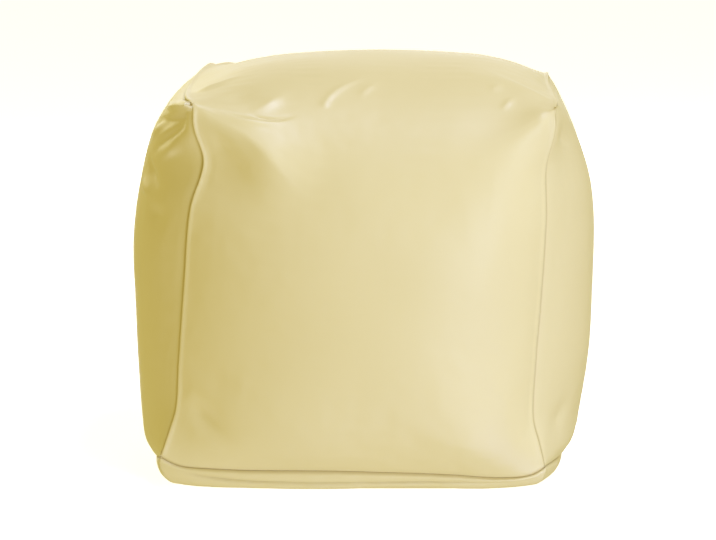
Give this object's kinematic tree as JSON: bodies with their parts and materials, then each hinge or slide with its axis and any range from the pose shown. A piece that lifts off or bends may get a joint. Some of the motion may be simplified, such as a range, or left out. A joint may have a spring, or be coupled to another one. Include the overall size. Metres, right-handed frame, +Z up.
{
  "type": "cube pouf stool",
  "caption": "Soft cube pouf stool: sewn leathercloth cover with bulging sides and a low crowned top over a loose filling, resting on a flat base panel.",
  "frame": {"origin": "middle of the footprint, on the floor", "axes": "+X to the right seen from the front, +Y from the front to the back, +Z up"},
  "size_m": [0.4478, 0.449, 0.396],
  "materials": {
    "wrap_leathercloth": "satin, fine grain",
    "side_leathercloth": "satin, fine grain",
    "base_leathercloth": "satin, fine grain"
  },
  "bodies": {
    "root": {"filled_wrap": "wrap_leathercloth", "side_panel_left": "side_leathercloth", "side_panel_right": "side_leathercloth", "base_panel": "base_leathercloth"}
  },
  "joints": []
}
